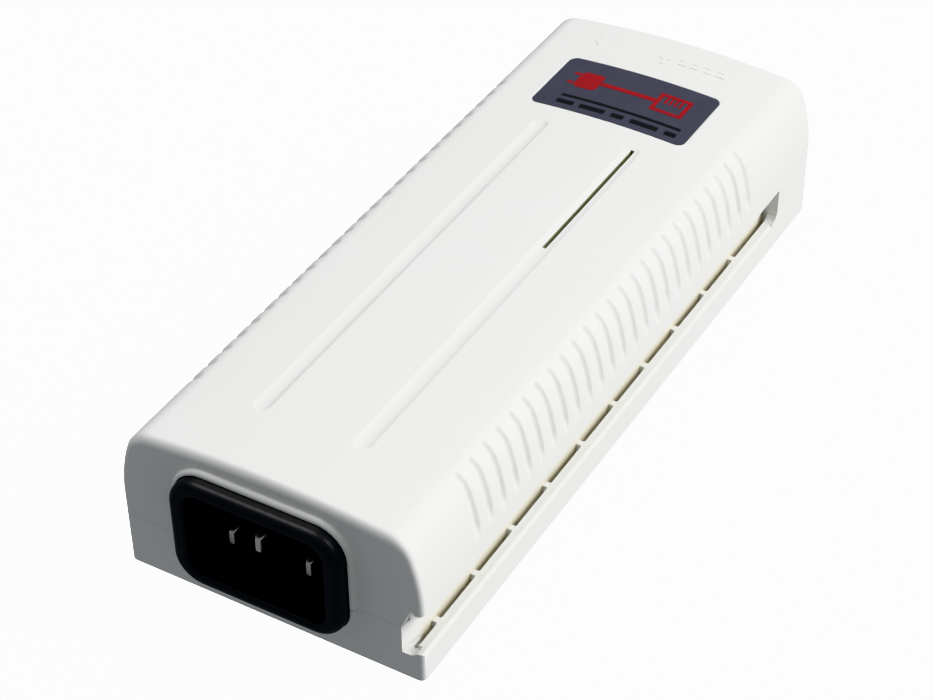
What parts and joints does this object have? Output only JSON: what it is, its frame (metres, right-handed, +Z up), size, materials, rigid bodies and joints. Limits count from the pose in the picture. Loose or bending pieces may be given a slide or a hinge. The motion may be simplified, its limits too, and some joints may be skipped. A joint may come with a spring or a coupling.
{
  "type": "poe injector",
  "caption": "Slim white mains-fed power-over-Ethernet injector with a C14 inlet, side vents and two RJ45 jacks, for feeding one network device.",
  "frame": {"origin": "middle of the housing's footprint, on the raised strip of the base that it stands on", "axes": "+Z up, +Y along the housing from the mains inlet end to the jack end, +X to the side with the slotted groove"},
  "size_m": [0.0544, 0.1435, 0.0296],
  "materials": {
    "housing_white": "fine moulded matt",
    "label_slate": "printed film",
    "label_paper": "plain printed film",
    "inlet_black": "moulded satin",
    "plated_brass": "nickel plated",
    "part_brown": "moulded",
    "part_blue": "dipped",
    "lead_green": "moulded",
    "board_green": "solder mask over glass fibre laminate",
    "sheet_grey": "pressed sheet",
    "steel": "zinc plated",
    "part_yellow": "moulded or taped",
    "ferrite": "sintered",
    "copper": "enamelled wire",
    "part_black": "moulded",
    "aluminium": "extruded",
    "jack_plastic": "moulded",
    "contact_gold": "gold plated",
    "pipe_clear": "clear moulded"
  },
  "bodies": {
    "root": {"board_screw_1": "steel", "board_screw_2": "steel", "board_screw_3": "steel", "board_screw_4": "steel", "bottom_base": "housing_white", "bridge_rectifier": "part_black", "bulk_capacitor": "part_black", "case_screw_1": "steel", "case_screw_2": "steel", "case_screw_3": "steel", "case_screw_4": "steel", "choke_core": "ferrite", "choke_winding_left": "copper", "choke_winding_right": "copper", "circuit_board": "board_green", "fuse": "part_brown", "inlet_lead_earth": "lead_green", "inlet_lead_line": "part_brown", "inlet_lead_neutral": "part_blue", "inlet_pin_earth": "plated_brass", "inlet_pin_line": "plated_brass", "inlet_pin_neutral": "plated_brass", "inlet_shell": "inlet_black", "insulation_sheet": "sheet_grey", "lan_magnetics_in": "part_black", "lan_magnetics_out": "part_black", "name_label": "label_slate", "optocoupler": "part_black", "output_capacitor_1": "part_black", "output_capacitor_2": "part_black", "output_diode": "part_black", "output_heatsink": "aluminium", "poe_controller": "part_black", "port_led": "lead_green", "port_light_pipe": "pipe_clear", "power_led": "lead_green", "power_light_pipe": "pipe_clear", "primary_heatsink": "aluminium", "primary_transistor": "part_black", "rating_label": "label_paper", "rj45_contacts_in": "contact_gold", "rj45_contacts_out": "contact_gold", "rj45_jack_in": "jack_plastic", "rj45_jack_out": "jack_plastic", "supply_controller": "part_black", "top_cover": "housing_white", "transformer_bobbin": "part_black", "transformer_core_front": "ferrite", "transformer_core_rear": "ferrite", "transformer_winding": "part_yellow", "varistor": "part_blue", "x_capacitor": "part_yellow", "y_capacitor": "part_blue"}
  },
  "joints": []
}
